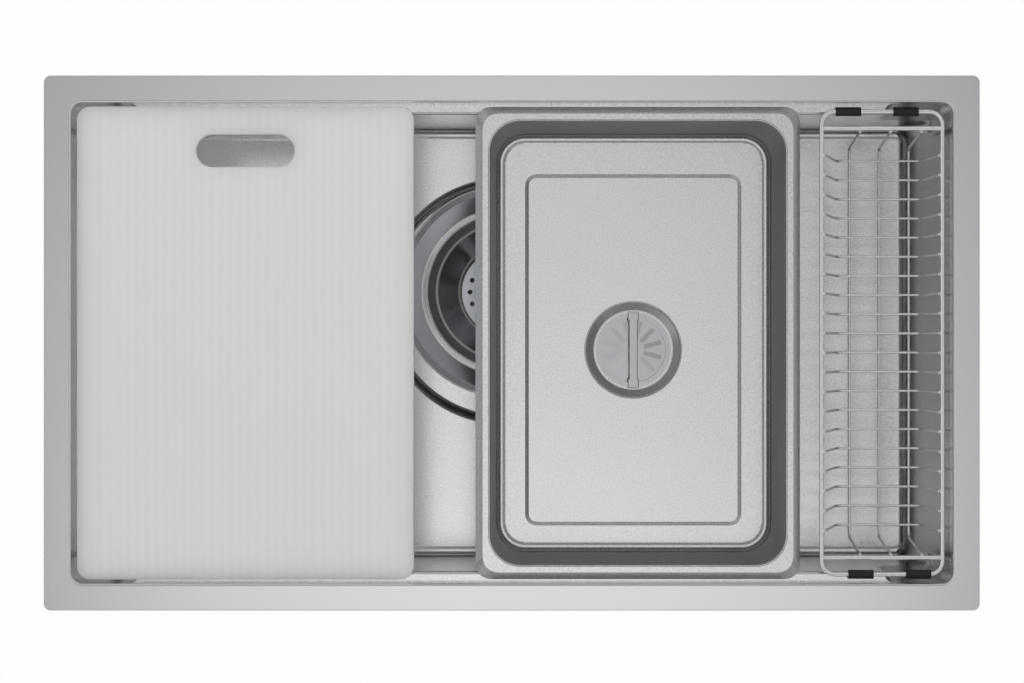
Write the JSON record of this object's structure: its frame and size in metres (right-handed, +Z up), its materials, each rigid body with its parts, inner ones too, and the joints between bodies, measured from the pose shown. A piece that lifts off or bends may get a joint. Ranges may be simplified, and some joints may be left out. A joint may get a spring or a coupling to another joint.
{
  "type": "kitchen sink",
  "caption": "Drop-in steel work-station sink with a deep bowl, ledges for a sliding cutting board, insert tub and wire rack, a basket drain and a plugged tub drain.",
  "frame": {"origin": "middle of the sink's opening on the worktop's surface, the plane of the rim seal's underside", "axes": "+X to the user's right along the long side, +Y to the back, +Z up out of the bowl"},
  "size_m": [0.78, 0.446, 0.384],
  "materials": {
    "satin_steel": "satin, fine grained",
    "polished_steel": "polished",
    "wire_steel": "bright drawn wire",
    "board_plastic": "matte white",
    "black_rubber": "matte black",
    "seal_rubber": "matte dark grey",
    "pad_rubber": "matte dark grey",
    "drain_plastic": "off-white moulded",
    "clip_steel": "zinc grey"
  },
  "bodies": {
    "sink": {"rim_panel": "satin_steel", "rim_seal": "seal_rubber", "sink_bowl": "satin_steel", "sound_pads": "pad_rubber", "clip_brackets": "clip_steel", "clip_jaws": "clip_steel", "clip_screws": "clip_steel", "drain_flange": "polished_steel", "drain_flange_seal": "seal_rubber", "drain_under_seal": "seal_rubber", "drain_lock_ring": "drain_plastic", "drain_pot_seal": "seal_rubber", "drain_pot": "drain_plastic", "outlet_washer": "seal_rubber", "outlet_nut": "drain_plastic", "outlet_tail": "drain_plastic"},
    "board": {"cutting_board": "board_plastic"},
    "tub": {"tub_shell": "satin_steel", "tub_drain_flange": "polished_steel", "tub_drain_seal": "seal_rubber", "tub_drain_nut": "drain_plastic"},
    "tub_plug": {"plug_dish": "polished_steel", "plug_bar": "polished_steel", "plug_seal": "black_rubber"},
    "rack": {"rack_frame": "wire_steel", "rack_end_bars": "wire_steel", "rack_hoops": "wire_steel", "rack_runners": "wire_steel", "rack_sleeves": "black_rubber"},
    "basket": {"strainer_basket": "polished_steel", "basket_cup": "polished_steel"},
    "stopper": {"stopper_knob": "polished_steel", "stopper_stem": "polished_steel", "stopper_seal": "black_rubber"}
  },
  "joints": [
    {"name": "board_slide", "type": "slide", "parent": "sink", "child": "board", "axis": [1, 0, 0], "range_m": [-0.003, 0.025]},
    {"name": "tub_slide", "type": "slide", "parent": "sink", "child": "tub", "axis": [1, 0, 0], "range_m": [-0.025, 0.0075]},
    {"name": "rack_slide", "type": "slide", "parent": "sink", "child": "rack", "axis": [1, 0, 0], "range_m": [-0.0075, 0.004]},
    {"name": "tub_plug_lift", "type": "slide", "parent": "tub", "child": "tub_plug", "axis": [0, 0, 1], "range_m": [0, 0.15]},
    {"name": "basket_lift", "type": "slide", "parent": "sink", "child": "basket", "axis": [0, 0, 1], "range_m": [0, 0.075]},
    {"name": "stopper_lift", "type": "slide", "parent": "basket", "child": "stopper", "axis": [0, 0, 1], "range_m": [0, 0.01]}
  ]
}
